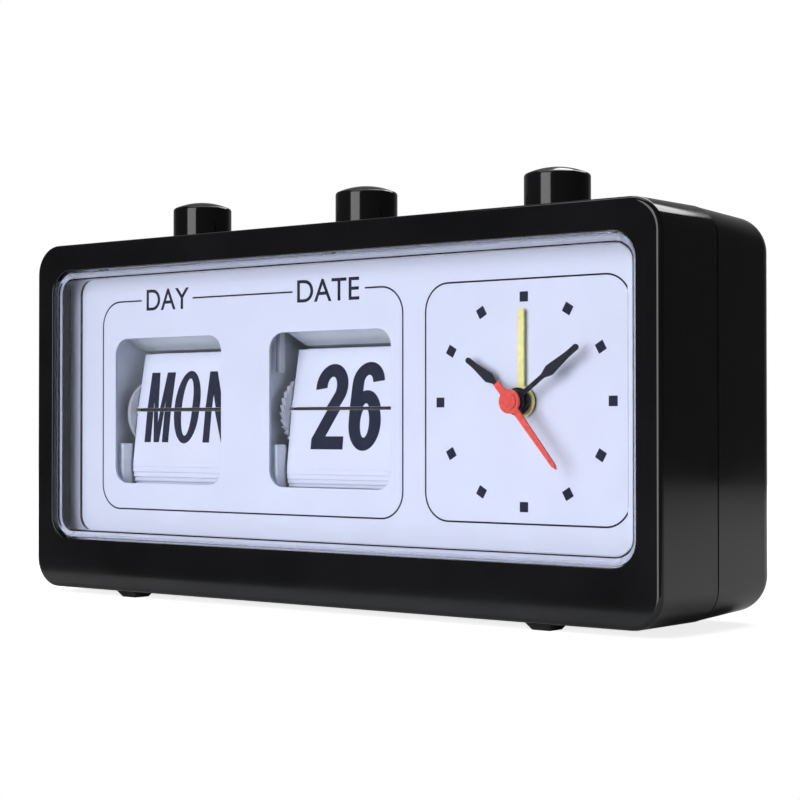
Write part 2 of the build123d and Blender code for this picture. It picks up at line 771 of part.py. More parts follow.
def flip_unit(label, x, count, side, stem_x):
    """Frame, axle, hub, flanges, cards, pawl and click spring of one drum."""
    flange_half = card_width / 2 + fit_gap + flange_thickness
    hub_half = frame_inner_half - fit_gap
    frame_back_y = dial_back_y + frame_depth

    with BuildPart() as frame:
        for hand in (-1, 1):
            plate = sorted((x + hand * frame_inner_half, x + hand * frame_outer_half))
            tab = sorted((x + hand * frame_outer_half, x + hand * (frame_outer_half + tab_size)))
            block(plate, (dial_back_y, frame_back_y), (frame_floor_z - frame_wall, rail_bottom_z))
            for height in tab_z:
                block(tab, (dial_back_y, dial_back_y + tab_thickness),
                      (height - tab_size / 2, height + tab_size / 2))
                rod(sum(tab) / 2, height, stake_radius + press_gap,
                    (dial_back_y, dial_back_y + tab_thickness), Mode.SUBTRACT)
        block((x - frame_outer_half, x + frame_outer_half), (dial_back_y, frame_back_y),
              (frame_floor_z - frame_wall, frame_floor_z))
        hood = sorted((x + side * (card_width / 2 + fit_gap), x - side * frame_outer_half))
        with BuildSketch(Plane(origin=(hood[0], 0, 0), x_dir=(0, 1, 0), z_dir=(1, 0, 0))):
            with BuildLine():
                front = (dial_back_y, flip_z + hood_rise)
                knee = (flip_y - hood_knee, flip_z + card_sweep(count) + hood_clearance)
                end = (flip_y + hood_reach, knee[1] - hood_fall)
                Polyline(front, knee, end, (end[0], end[1] + frame_wall), (knee[0], knee[1] + frame_wall),
                         (front[0], front[1] + frame_wall), close=True)
            make_face()
        extrude(amount=hood[1] - hood[0])
        block((x - frame_inner_half, x - frame_inner_half + bracket_width),
              (dial_back_y + fit_gap, dial_back_y + fit_gap + bracket_depth),
              (frame_floor_z, flip_z - bracket_drop))
        cross_rod(flip_y, flip_z, axle_radius + press_gap, (x - frame_outer_half, x + frame_outer_half),
                  Mode.SUBTRACT)
    save(frame, label + "_flip_frame")

    with BuildPart() as axle:
        cross_rod(flip_y, flip_z, axle_radius, (x - frame_outer_half, x + frame_outer_half))
    save(axle, label + "_axle")

    with BuildPart() as hub:
        barrel_half = card_width / 2 + fit_gap
        cross_rod(flip_y, flip_z, hub_radius, (x - barrel_half, x + barrel_half))
        cross_rod(flip_y, flip_z, hub_spigot_radius, (x - hub_half, x + hub_half))
        cross_rod(flip_y, flip_z, axle_radius + running_gap, (x - hub_half, x + hub_half), Mode.SUBTRACT)
    save(hub, label + "_hub")

    with BuildPart() as flanges:
        drum_flange(x, count, side, True)
        drum_flange(x, count, -side, False)
    save(flanges, label + "_flanges")

    with BuildPart() as cards:
        back_cards = int((180 - upper_lean) / card_step(count))
        for index in list(range(1, back_cards + 1)) + list(range(back_cards + 1 - count, 0)):
            add_card(x, count, index)
    save(cards, label + "_cards")

    with BuildPart() as flip_card:
        add_card(x, count, 0)
    save(flip_card, label + "_flip_card")

    save(pawl(stem_x, x, side), label + "_pawl")

    with BuildPart() as click_spring:
        leaf_y = flip_y + ratchet_radius + fit_gap
        leaf_x = sorted((x + side * (card_width / 2 + fit_gap), x + side * flange_half))
        block(leaf_x, (leaf_y, leaf_y + click_thickness), (frame_floor_z, flip_z + ratchet_depth))
        block(leaf_x, (leaf_y - ratchet_radius / 2, leaf_y), (frame_floor_z, frame_floor_z + click_thickness))
    save(click_spring, label + "_click_spring")


flip_unit("day", day_x, day_cards_count, 1, day_button_x)
flip_unit("date", date_x, date_cards_count, -1, date_x)

# Movement case: front half with the bushing, bridge plate, back half with the battery bay

alarm_front_y = dial_back_y + movement_wall + wheel_gap
alarm_wheel_y = (alarm_front_y, alarm_front_y + wheel_thickness)
hour_wheel_y = tuple(y + wheel_thickness + wheel_gap for y in alarm_wheel_y)
cannon_y = tuple(y + wheel_thickness + wheel_gap for y in hour_wheel_y)
bridge_y = (cannon_y[1] + wheel_gap, cannon_y[1] + wheel_gap + bridge_thickness)
center_y = (bridge_y[1] + wheel_gap, bridge_y[1] + wheel_gap + train_thickness)
third_y = tuple(y + train_thickness + wheel_gap for y in center_y)
second_y = tuple(y + train_thickness + wheel_gap for y in third_y)
step_y = tuple(y + train_thickness + wheel_gap for y in second_y)
rotor_y = (step_y[1], step_y[1] + rotor_length)
third_distance = (third_teeth + pinion_teeth) * train_module / 2
center_module = 2 * third_distance / (center_teeth + pinion_teeth)
step_distance = (second_teeth + pinion_teeth) * train_module / 2
rotor_distance = (step_teeth + pinion_teeth) * train_module / 2
third_z = axis_z + third_distance
step_x = clock_x + step_distance * cos(radians(step_bearing))
step_z = axis_z + step_distance * sin(radians(step_bearing))
rotor_x = step_x + rotor_distance * cos(radians(step_bearing))
rotor_z = step_z + rotor_distance * sin(radians(step_bearing))
train_places = [(clock_x, third_z), (step_x, step_z), (rotor_x, rotor_z)]
train_end_y = movement_floor_y - wheel_gap
board_x = clock_x - movement_width / 2 + movement_wall + wheel_gap + board_width / 2
board_z = movement_bottom_z + movement_wall + wheel_gap + board_height / 2
board_y = movement_floor_y - board_lift - board_thickness
stator_y = (sum(rotor_y) / 2 - stator_thickness / 2, sum(rotor_y) / 2 + stator_thickness / 2)
stator_leg = stator_bar / 2
stator_leg_places = [rotor_x - stator_half + stator_leg, rotor_x + stator_half - stator_leg]


def movement_outline(inset):
    """Rounded outline of the movement, inset by a wall or a gap."""
    with Locations((clock_x, axis_z)):
        RectangleRounded(movement_width - 2 * inset, movement_height - 2 * inset, movement_radius - inset)


with BuildPart() as movement_front:
    with BuildSketch(layer(movement_mid_y)):
        movement_outline(0)
    extrude(amount=movement_front_depth)
    with BuildSketch(layer(movement_mid_y)):
        movement_outline(movement_wall)
    extrude(amount=movement_front_depth - movement_wall, mode=Mode.SUBTRACT)
    for lug_x, lug_z in lug_places:
        block((lug_x - lug_size / 2, lug_x + lug_size / 2), (dial_back_y, dial_back_y + lug_thickness),
              (lug_z - lug_size / 2, lug_z + lug_size / 2))
        rod(lug_x, lug_z, dial_screw_radius + fit_gap, (dial_back_y, dial_back_y + lug_thickness),
            Mode.SUBTRACT)
    rod(clock_x, axis_z, bushing_radius, (dial_y, dial_back_y))
    rod(clock_x, axis_z, alarm_tube_radius + running_gap, (dial_y, dial_back_y + movement_wall),
        Mode.SUBTRACT)
    for arbor_x in (motion_x, alarm_set_x):
        rod(arbor_x, axis_z, set_arbor_radius + running_gap,
            (dial_back_y + movement_wall / 2, dial_back_y + movement_wall), Mode.SUBTRACT)
save(movement_front, "movement_front_case")

with BuildPart() as movement_bridge:
    with BuildSketch(layer(bridge_y[1])):
        movement_outline(movement_wall + press_gap)
        with Locations((clock_x, axis_z)):
            Circle(minute_tube_radius + running_gap, mode=Mode.SUBTRACT)
        with Locations((motion_x, axis_z), (alarm_set_x, axis_z)):
            Circle(set_arbor_radius + running_gap, mode=Mode.SUBTRACT)
        with Locations(*train_places):
            Circle(train_arbor_radius + running_gap, mode=Mode.SUBTRACT)
    extrude(amount=bridge_thickness)
save(movement_bridge, "movement_bridge")

with BuildPart() as movement_back:
    with BuildSketch(layer(movement_back_y)):
        movement_outline(0)
    extrude(amount=movement_back_depth)
    with BuildSketch(layer(movement_floor_y)):
        movement_outline(movement_wall)
    extrude(amount=movement_back_depth - movement_wall, mode=Mode.SUBTRACT)
    bay_x = (clock_x - bay_outer_half, clock_x + bay_outer_half)
    bay_outer_z = (bay_z - bay_half - bay_wall, bay_z + bay_half + bay_wall)
    block(bay_x, (movement_back_y, cover_floor_y - fit_gap), bay_outer_z)
    block((clock_x - cell_half, clock_x + cell_half), (movement_back_y + bay_wall, cover_floor_y),
          (bay_z - bay_half, bay_z + bay_half), Mode.SUBTRACT)
    for arbor_x in (motion_x, alarm_set_x):
        rod(arbor_x, axis_z, set_arbor_radius + running_gap, (movement_floor_y, movement_back_y),
            Mode.SUBTRACT)
    for slot in range(sound_slot_count):
        slot_x = buzzer_x + (slot - (sound_slot_count - 1) / 2) * sound_slot_pitch
        block((slot_x - sound_slot_width / 2, slot_x + sound_slot_width / 2),
              (movement_floor_y, movement_back_y),
              (buzzer_z - sound_slot_height / 4, buzzer_z + sound_slot_height / 4), Mode.SUBTRACT)
    for pillar_x, pillar_z in train_places + [(clock_x, axis_z)]:
        rod(pillar_x, pillar_z, train_pillar_radius, (train_end_y - train_thickness, movement_floor_y))
        rod(pillar_x, pillar_z, second_arbor_radius + running_gap,
            (train_end_y - train_thickness, train_end_y), Mode.SUBTRACT)
    for pillar_x in (board_x - board_pillar_spread, board_x + board_pillar_spread):
        rod(pillar_x, board_z, board_pillar_radius, (board_y + board_thickness, movement_floor_y))
    for leg_x in stator_leg_places:
        rod(leg_x, rotor_z, stator_pillar_radius, (stator_y[1], movement_floor_y))
    block((clock_x + rail_seat_start, clock_x + rail_seat_end),
          (movement_mid_y, movement_mid_y + rail_seat_depth), (movement_top_z, rail_bottom_z))
save(movement_back, "movement_back_case")

with BuildPart() as movement_screws:
    for lug_x, lug_z in lug_places:
        lug_back_y = dial_back_y + lug_thickness
        rod(lug_x, lug_z, dial_screw_radius - press_gap, (dial_y + dial_thickness / 2, lug_back_y))
        rod(lug_x, lug_z, dial_screw_head, (lug_back_y, lug_back_y + dial_screw_head_thickness))
        block((lug_x - dial_screw_head / 2, lug_x + dial_screw_head / 2),
              (lug_back_y + dial_screw_head_thickness / 2, lug_back_y + dial_screw_head_thickness),
              (lug_z - screw_slot_half, lug_z + screw_slot_half), Mode.SUBTRACT)
save(movement_screws, "movement_screws")

# Motion work between the front case and the bridge

with BuildPart() as motion_wheel:
    gear(motion_x, axis_z, cannon_y, motion_teeth, motion_module, 180.0 / motion_teeth)
    gear(motion_x, axis_z, hour_wheel_y, motion_pinion_teeth, hour_module, 180.0 / motion_pinion_teeth)
    rod(motion_x, axis_z, set_arbor_radius,
        (dial_back_y + movement_wall / 2 + press_gap, knob_y + knob_length / 2))
save(motion_wheel, "motion_wheel")

with BuildPart() as minute_wheel:
    gear(clock_x, axis_z, cannon_y, cannon_teeth, motion_module, 180.0)
    rod(clock_x, axis_z, minute_tube_radius,
        (dial_y - minute_hand_height - hand_thickness, center_y[1] + wheel_gap / 2))
    rod(clock_x, axis_z, second_arbor_radius + running_gap,
        (dial_y - minute_hand_height - hand_thickness, center_y[1] + wheel_gap / 2), Mode.SUBTRACT)
save(minute_wheel, "minute_wheel")

with BuildPart() as hour_wheel:
    gear(clock_x, axis_z, hour_wheel_y, hour_teeth, hour_module, 180.0)
    rod(clock_x, axis_z, hour_tube_radius, (dial_y - hour_hand_height - hand_thickness, hour_wheel_y[1]))
    rod(clock_x, axis_z, minute_tube_radius + running_gap,
        (dial_y - hour_hand_height - hand_thickness, hour_wheel_y[1]), Mode.SUBTRACT)
save(hour_wheel, "hour_wheel")

with BuildPart() as alarm_wheel:
    gear(clock_x, axis_z, alarm_wheel_y, alarm_teeth, motion_module, 0.0)
    rod(clock_x, axis_z, alarm_tube_radius, (dial_y - alarm_hand_height - hand_thickness, alarm_wheel_y[1]))
    rod(clock_x, axis_z, hour_tube_radius + running_gap,
        (dial_y - alarm_hand_height - hand_thickness, alarm_wheel_y[1]), Mode.SUBTRACT)
save(alarm_wheel, "alarm_wheel")

with BuildPart() as alarm_set_pinion:
    gear(alarm_set_x, axis_z, alarm_wheel_y, alarm_pinion_teeth, motion_module,
         180.0 + 180.0 / alarm_pinion_teeth)
    rod(alarm_set_x, axis_z, set_arbor_radius,
        (dial_back_y + movement_wall / 2 + press_gap, knob_y + knob_length / 2))
save(alarm_set_pinion, "alarm_set_pinion")

# Going train behind the bridge

with BuildPart() as center_wheel:
    gear(clock_x, axis_z, center_y, center_teeth, center_module, 90.0)
    rod(clock_x, axis_z, minute_tube_radius + running_gap, center_y, Mode.SUBTRACT)
save(center_wheel, "center_wheel")

with BuildPart() as third_wheel:
    gear(clock_x, third_z, third_y, third_teeth, train_module, 270.0 + 180.0 / third_teeth)
    gear(clock_x, third_z, center_y, pinion_teeth, center_module, 270.0 + 180.0 / pinion_teeth)
    rod(clock_x, third_z, train_arbor_radius, (bridge_y[0], train_end_y - press_gap))
save(third_wheel, "third_wheel")

with BuildPart() as second_wheel:
    gear(clock_x, axis_z, second_y, second_teeth, train_module, step_bearing)
    gear(clock_x, axis_z, third_y, pinion_teeth, train_module, 90.0)
    rod(clock_x, axis_z, second_arbor_radius,
        (dial_y - second_hand_height - hand_thickness, train_end_y - press_gap))
save(second_wheel, "second_wheel")

with BuildPart() as step_wheel:
    gear(step_x, step_z, step_y, step_teeth, train_module, step_bearing)
    gear(step_x, step_z, second_y, pinion_teeth, train_module, step_bearing + 180.0 + 180.0 / pinion_teeth)
    rod(step_x, step_z, train_arbor_radius, (bridge_y[0], train_end_y - press_gap))
save(step_wheel, "step_wheel")

with BuildPart() as rotor:
    gear(rotor_x, rotor_z, step_y, pinion_teeth, train_module, step_bearing + 180.0 + 180.0 / pinion_teeth)
    rod(rotor_x, rotor_z, rotor_radius, rotor_y)
    rod(rotor_x, rotor_z, train_arbor_radius, (bridge_y[0], train_end_y - press_gap))
save(rotor, "rotor")

# Stepping motor, circuit board and buzzer

coil_z = rotor_z - coil_drop

with BuildPart() as stator:
    stator_x = (rotor_x - stator_half, rotor_x + stator_half)
    block(stator_x, stator_y, (rotor_z - rotor_radius - stator_leg, rotor_z + stator_leg))
    rod(rotor_x, rotor_z, rotor_radius + stator_gap + stator_leg, stator_y)
    for leg_x in stator_leg_places:
        block((leg_x - stator_leg, leg_x + stator_leg), stator_y, (coil_z - stator_leg, rotor_z))
    block(stator_x, stator_y, (coil_z - stator_leg, coil_z + stator_leg))
    rod(rotor_x, rotor_z, rotor_radius + stator_gap, stator_y, Mode.SUBTRACT)
save(stator, "stator")

with BuildPart() as motor_coil:
    coil_half = stator_half - stator_bar - wheel_gap
    coil_reach = stator_leg + coil_thickness
    coil_y = (stator_y[0] - coil_thickness, stator_y[1] + coil_thickness)
    block((rotor_x - coil_half, rotor_x + coil_half), coil_y, (coil_z - coil_reach, coil_z + coil_reach))
    fillet(motor_coil.edges().filter_by(Axis.X), coil_thickness / 2)
    block((rotor_x - coil_half, rotor_x + coil_half), (stator_y[0] - press_gap, stator_y[1] + press_gap),
          (coil_z - stator_leg - press_gap, coil_z + stator_leg + press_gap), Mode.SUBTRACT)
save(motor_coil, "motor_coil")

with BuildPart() as circuit_board:
    block((board_x - board_width / 2, board_x + board_width / 2), (board_y, board_y + board_thickness),
          (board_z - board_height / 2, board_z + board_height / 2))
save(circuit_board, "circuit_board")

with BuildPart() as quartz_crystal:
    cross_rod(board_y - crystal_radius - press_gap, board_z, crystal_radius,
              (board_x - crystal_length / 2, board_x + crystal_length / 2))
    fillet(quartz_crystal.edges().filter_by(GeomType.CIRCLE), crystal_radius / 4)
save(quartz_crystal, "quartz_crystal")

with BuildPart() as buzzer:
    buzzer_back_y = movement_floor_y - press_gap
    buzzer_front_y = buzzer_back_y - buzzer_thickness
    rod(buzzer_x, buzzer_z, buzzer_radius, (buzzer_front_y, buzzer_back_y))
    rod(buzzer_x, buzzer_z, buzzer_disc_radius, (buzzer_front_y - buzzer_disc_thickness, buzzer_front_y))
save(buzzer, "buzzer")

# Alarm switch: a bridge on the alarm stem closes two fixed contacts on the movement

with BuildPart() as alarm_bridge:
    block((alarm_button_x - pawl_collar_radius, alarm_button_x + pawl_collar_radius),
          (parting_y - pawl_collar_radius, parting_y + pawl_collar_radius),
          (contact_plate_z - contact_thickness, contact_plate_z))
    upright(alarm_button_x, parting_y, stem_radius + press_gap,
            (contact_plate_z - contact_thickness, contact_plate_z), Mode.SUBTRACT)
save(alarm_bridge, "alarm_contact_bridge")

with BuildPart() as alarm_contacts:
    for side in (-1, 1):
        contact_x = sorted((alarm_button_x + side * stem_radius, alarm_button_x + side * pawl_collar_radius))
        block(contact_x, (movement_mid_y + wheel_gap, parting_y + pawl_collar_radius),
              (movement_top_z, movement_top_z + contact_thickness))
save(alarm_contacts, "alarm_contacts")


# Hands

def hand_plane(height, clockwise):
    """Plane at a height above the dial, whose local y points along the hand."""
    turn = radians(clockwise)
    return Plane(origin=(clock_x, dial_y - height, axis_z), x_dir=(cos(turn), 0, -sin(turn)),
                 z_dir=(0, -1, 0))


def lance_hand(height, clockwise, length, boss_radius, bore_radius):
    """Hand with a slim stem, a lance-shaped blade and a blunt tip."""
    half_stem = hand_stem_width / 2
    half_belly = hand_belly_width / 2
    half_tip = hand_tip_width / 2
    stem_end = length * hand_stem_share
    belly = length * hand_belly_share
    neck = length * hand_neck_share
    with BuildPart() as hand:
        with BuildSketch(hand_plane(height, clockwise)):
            with BuildLine():
                Polyline((-half_stem, 0), (half_stem, 0), (half_stem, stem_end), (half_belly, belly),
                         (half_tip, neck), (half_tip, length), (-half_tip, length), (-half_tip, neck),
                         (-half_belly, belly), (-half_stem, stem_end), close=True)
            make_face()
            Circle(boss_radius)
            Circle(bore_radius + press_gap, mode=Mode.SUBTRACT)
        extrude(amount=hand_thickness)
        tip = hand.edges().filter_by(Axis.Y).sort_by_distance((clock_x, dial_y - height, axis_z))[-2:]
        fillet(tip, half_tip * hand_tip_share)
    return hand


save(lance_hand(hour_hand_height, hour_angle, hour_hand_length, hour_boss_radius, hour_tube_radius),
     "hour_hand")
save(lance_hand(minute_hand_height, minute_angle, minute_hand_length, hand_boss_radius, minute_tube_radius),
     "minute_hand")

with BuildPart() as alarm_hand:
    with BuildSketch(hand_plane(alarm_hand_height, alarm_angle)):
        with Locations((0, alarm_hand_length / 2)):
            Rectangle(alarm_hand_width, alarm_hand_length)
        Circle(alarm_boss_radius)
        Circle(alarm_tube_radius + press_gap, mode=Mode.SUBTRACT)
    extrude(amount=hand_thickness)
save(alarm_hand, "alarm_hand")

with BuildPart() as second_hand:
    with BuildSketch(hand_plane(second_hand_height, second_angle)):
        half_base = second_base_width / 2
        half_end = second_tip_width / 2
        point_start = second_hand_length - second_point_length
        with BuildLine():
            Polyline((-half_base, -second_tail_length), (half_base, -second_tail_length), (half_base, 0),
                     (half_end, point_start), (0, second_hand_length), (-half_end, point_start),
                     (-half_base, 0), close=True)
        make_face()
        Circle(hand_boss_radius)
        Circle(second_arbor_radius + press_gap, mode=Mode.SUBTRACT)
    extrude(amount=hand_thickness)
    with BuildSketch(hand_plane(second_hand_height + hand_thickness, second_angle)):
        Circle(second_cap_radius)
    extrude(amount=hand_thickness / 2)
save(second_hand, "second_hand")


# Setting knobs at the back

def setting_knob(x):
    """Fluted knob pressed on a setting arbor."""
    with BuildPart() as knob:
        rod(x, axis_z, knob_radius, (knob_y, knob_y + knob_length))
        fillet(knob.faces().sort_by(Axis.Y)[-1].edges(), knob_flute_radius)
        for flute in range(knob_flutes):
            angle = 2 * pi * flute / knob_flutes
            rod(x + knob_radius * cos(angle), axis_z + knob_radius * sin(angle), knob_flute_radius,
                (knob_y, knob_y + knob_length), Mode.SUBTRACT)
        rod(x, axis_z, knob_stub_radius, (cover_floor_y - fit_gap, knob_y))
        rod(x, axis_z, set_arbor_radius + press_gap,
            (cover_floor_y - fit_gap, knob_y + knob_length / 2 + press_gap), Mode.SUBTRACT)
    return knob


save(setting_knob(motion_x), "time_set_knob")
save(setting_knob(alarm_set_x), "alarm_set_knob")

# Battery cell and its contacts

cell_y = movement_back_y + bay_wall + bay_gap + cell_radius

with BuildPart() as battery_cell:
    cross_rod(cell_y, bay_z, cell_radius, (clock_x - cell_length / 2, clock_x + cell_length / 2))
    fillet(battery_cell.edges().filter_by(GeomType.CIRCLE), contact_thickness)
    cross_rod(cell_y, bay_z, cell_nub_radius,
              (clock_x + cell_length / 2, clock_x + cell_length / 2 + cell_nub_length))
save(battery_cell, "battery_cell")

with BuildPart() as battery_contacts:
    for side in (-1, 1):
        contact_x = sorted((clock_x + side * cell_half, clock_x + side * (cell_half - contact_thickness)))
        block(contact_x, (movement_back_y + bay_wall, cell_y + cell_radius / 2),
              (bay_z - contact_half_height, bay_z + contact_half_height))
    spring_end = clock_x - cell_length / 2 - press_gap
    cross_rod(cell_y, bay_z, cell_nub_radius, (clock_x - cell_half, spring_end))
    cross_rod(cell_y, bay_z, cell_nub_radius,
              (clock_x + cell_length / 2 + cell_nub_length + press_gap, clock_x + cell_half))
save(battery_contacts, "battery_contacts")
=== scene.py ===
import json
from math import acos, cos, degrees, pi, radians, sin

import bmesh
import bpy
from mathutils import Matrix, Vector


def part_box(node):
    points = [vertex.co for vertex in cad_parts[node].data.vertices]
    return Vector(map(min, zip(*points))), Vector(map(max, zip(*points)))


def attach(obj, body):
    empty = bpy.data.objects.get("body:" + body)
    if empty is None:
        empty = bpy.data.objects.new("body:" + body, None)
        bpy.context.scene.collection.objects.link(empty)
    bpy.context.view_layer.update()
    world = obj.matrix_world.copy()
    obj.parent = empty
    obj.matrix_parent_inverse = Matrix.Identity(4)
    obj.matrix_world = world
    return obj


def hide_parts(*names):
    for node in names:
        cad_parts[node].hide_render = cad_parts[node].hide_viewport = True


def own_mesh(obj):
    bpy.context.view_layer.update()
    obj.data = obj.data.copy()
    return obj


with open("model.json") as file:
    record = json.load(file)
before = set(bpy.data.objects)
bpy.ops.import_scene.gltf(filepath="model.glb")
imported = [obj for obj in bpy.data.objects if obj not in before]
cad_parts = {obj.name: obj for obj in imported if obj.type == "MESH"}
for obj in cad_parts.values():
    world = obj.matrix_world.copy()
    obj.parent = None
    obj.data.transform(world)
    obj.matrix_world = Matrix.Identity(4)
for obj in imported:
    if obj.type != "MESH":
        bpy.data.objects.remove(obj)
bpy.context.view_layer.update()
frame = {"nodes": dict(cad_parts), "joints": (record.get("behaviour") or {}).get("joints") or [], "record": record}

# Looks of the flip calendar clock: finishes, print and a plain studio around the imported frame.
# Sizes are millimetres, turned into metres where a piece is made. Colours are linear.

MM = 0.001

# Camera at the photograph's viewing angle
CAMERA_PLACE = (281.74, -342.48, 41.20)
CAMERA_AIM = (-0.62800, 0.77810, 0.01323)
CAMERA_LENS = 86.757
CAMERA_SENSOR = 36.0

# Ink films: clearance under a film, its thickness, and the steps of its round edges
INK_LIFT = 0.006
INK_FILM = 0.018
ARC_STEPS = 20
OVAL_STEPS = 48
CORNER_STEPS = 12
WORD_STEPS = 6
WELD = 0.0001

# Print on the dial, across from the middle of the case and up from the table
CASE_MIDDLE = 43.6
FRAME_LINE = 0.38
FRAME_RADIUS = 6.0
FRAME_LOW = CASE_MIDDLE - 22.7
FRAME_HIGH = CASE_MIDDLE + 27.9
CALENDAR_FRAME = (-74.8, 20.2)
CLOCK_FRAME = (26.5, 78.1)

# Breaks in the calendar frame's top line, the words that stand in them, and the hour markers
DAY_GAP = (-61.2, -43.8)
DATE_GAP = (-11.9, 9.5)
WORD_LOW = CASE_MIDDLE + 25.4
WORD_HIGH = CASE_MIDDLE + 30.5
WORD_WEIGHT = 0.03
DAY_WORD = (-59.5, -45.1)
DATE_WORD = (-10.5, 7.9)
MARKER_COUNT = 12
MARKER_RING = 21.7
MARKER_SIDE = 2.1

# Cards: the tail is the strip past the pivot line, and the leans are degrees from upright
CARD_COUNT = {"day": 28, "date": 31}
CARD_THICKNESS = 0.12
CARD_TAIL = 0.18
UPPER_LEAN = 10.5
LOWER_LEAN = 7.0

# Print on the cards, measured from the pivot line of a card and its middle
DAY_TEXT = {"low": -7.4, "high": 8.7, "stem": 2.2, "bar": 1.9}
DATE_TEXT = {"low": -8.8, "high": 9.8, "stem": 3.4, "bar": 3.0}
DAY_PLACES = ((-13.7, -5.4), (-4.3, 4.3), (6.3, 15.0))
DATE_PLACES = ((-10.2, -0.6), (0.6, 10.0))
ROUND_LETTERS = "O6"
ROUND_OVERSHOOT = 0.25

# Share of a noise's range that a colour or a roughness is spread over
COLOR_STOPS = (0.35, 0.65)
ROUGHNESS_STOPS = (0.3, 0.7)

# Studio, in metres
FLOOR_X = (-1.2, 1.2)
FLOOR_Y = (-0.072, 0.85)
PAPER_WHITE = (0.93, 0.93, 0.93, 1.0)
PAPER_ROUGHNESS = 0.9
PLAIN_WHITE = (1.0, 1.0, 1.0, 1.0)

# The floor's white grows with the distance from the object
FADE_DISTANCE = (0.16, 0.5)
FADE_GLOW = (0.82, 1.0)

# Gloss sees a dim room, and a pale backdrop towards one side; the spread is the cosine of the angle to it
BACKDROP = (-0.628, 0.778, 0.0)
BACKDROP_SPREAD = (0.55, 0.9)
ROOM_LEVEL = 0.05
BACKDROP_LEVEL = 0.2

# Softboxes: place, point that they face, size, radiance, and whether gloss mirrors them
SOFTBOXES = {
    "front_softbox": ((-0.05, -0.75, 0.11), (0.0, 0.0, 0.06), (0.62, 0.74), 2.65, False),
    "strip_softbox": ((-0.04, -0.74, 0.22), (0.0, 0.0, 0.06), (0.46, 0.70), 3.0, True),
    "top_softbox": ((-0.1, 0.05, 0.80), (0.0, 0.0, 0.05), (0.7, 0.5), 1.4, True),
    "back_softbox": ((-0.10, 0.70, 0.75), (0.0, 0.0, 0.06), (0.7, 0.4), 3.0, True),
}


# Node helpers

def start(name):
    """New node material with its tree and its shader."""
    material = bpy.data.materials.new(name)
    material.use_nodes = True
    return material, material.node_tree, material.node_tree.nodes["Principled BSDF"]


def add(tree, kind, values=None, **settings):
    """Add a node, set its properties and the values of its sockets."""
    made = tree.nodes.new(kind)
    for key, value in settings.items():
        setattr(made, key, value)
    for key, value in (values or {}).items():
        made.inputs[key].default_value = value
    return made


def noise(tree, scale, detail=3.0, stretch=(1.0, 1.0, 1.0)):
    """Noise that is fixed to the object; scale counts features per metre."""
    coordinates = add(tree, "ShaderNodeTexCoord")
    mapping = add(tree, "ShaderNodeMapping", {"Scale": stretch})
    texture = add(tree, "ShaderNodeTexNoise", {"Scale": scale, "Detail": detail})
    tree.links.new(coordinates.outputs["Object"], mapping.inputs["Vector"])
    tree.links.new(mapping.outputs["Vector"], texture.inputs["Vector"])
    return texture.outputs[0]


def waves(tree, scale, direction):
    """Even bands across one axis of the object."""
    coordinates = add(tree, "ShaderNodeTexCoord")
    texture = add(tree, "ShaderNodeTexWave", {"Scale": scale}, bands_direction=direction)
    tree.links.new(coordinates.outputs["Object"], texture.inputs["Vector"])
    return texture.outputs[1]


def remap(tree, source, given, wanted):
    """Socket that carries one range of values over to another."""
    spread = add(tree, "ShaderNodeMapRange", {"From Min": given[0], "From Max": given[1],
                                              "To Min": wanted[0], "To Max": wanted[1]})
    tree.links.new(source, spread.inputs["Value"])
    return spread.outputs["Result"]


def either_ray(tree, first, second):
    """Socket that is 1 for rays of either kind."""
    path = add(tree, "ShaderNodeLightPath")
    either = add(tree, "ShaderNodeMath", operation="MAXIMUM")
    tree.links.new(path.outputs[first], either.inputs[0])
    tree.links.new(path.outputs[second], either.inputs[1])
    return either.outputs["Value"]


def vary_color(tree, shader, source, first, second):
    """Base colour that wanders between two colours."""
    ramp = add(tree, "ShaderNodeValToRGB")
    for element, place, color in zip(ramp.color_ramp.elements, COLOR_STOPS, (first, second)):
        element.position = place
        element.color = (*color, 1.0)
    tree.links.new(source, ramp.inputs["Fac"])
    tree.links.new(ramp.outputs["Color"], shader.inputs["Base Color"])


def vary_roughness(tree, shader, source, low, high):
    """Roughness that wanders between two values."""
    tree.links.new(remap(tree, source, ROUGHNESS_STOPS, (low, high)), shader.inputs["Roughness"])


def add_bump(tree, shader, source, strength, distance):
    """Fine relief in millimetres."""
    relief = add(tree, "ShaderNodeBump", {"Strength": strength, "Distance": distance * MM})
    tree.links.new(source, relief.inputs["Height"])
    tree.links.new(relief.outputs["Normal"], shader.inputs["Normal"])


def shade(color, share):
    """Colour made lighter or darker by a share."""
    return tuple(min(1.0, channel * (1.0 + share)) for channel in color)


# Finishes

def gloss_black(name):
    """Polished black moulding: deep gloss with a trace of orange peel and smudges."""
    material, tree, shader = start(name)
    vary_color(tree, shader, noise(tree, 45.0), (0.0035, 0.0036, 0.0042), (0.0060, 0.0061, 0.0070))
    vary_roughness(tree, shader, noise(tree, 28.0, 4.0), 0.06, 0.13)
    add_bump(tree, shader, noise(tree, 420.0, 2.0), 0.12, 0.01)
    shader.inputs["IOR"].default_value = 1.52
    shader.inputs["Coat Weight"].default_value = 0.2
    shader.inputs["Coat Roughness"].default_value = 0.05
    return material


def moulded(name, color, low=0.35, high=0.5, spread=0.05, grain=2200.0, depth=0.02):
    """Plain moulded plastic with a fine grain and a slightly uneven colour."""
    material, tree, shader = start(name)
    vary_color(tree, shader, noise(tree, 160.0), shade(color, -spread), shade(color, spread))
    vary_roughness(tree, shader, noise(tree, 320.0), low, high)
    add_bump(tree, shader, noise(tree, grain, 2.0), 0.25, depth)
    return material


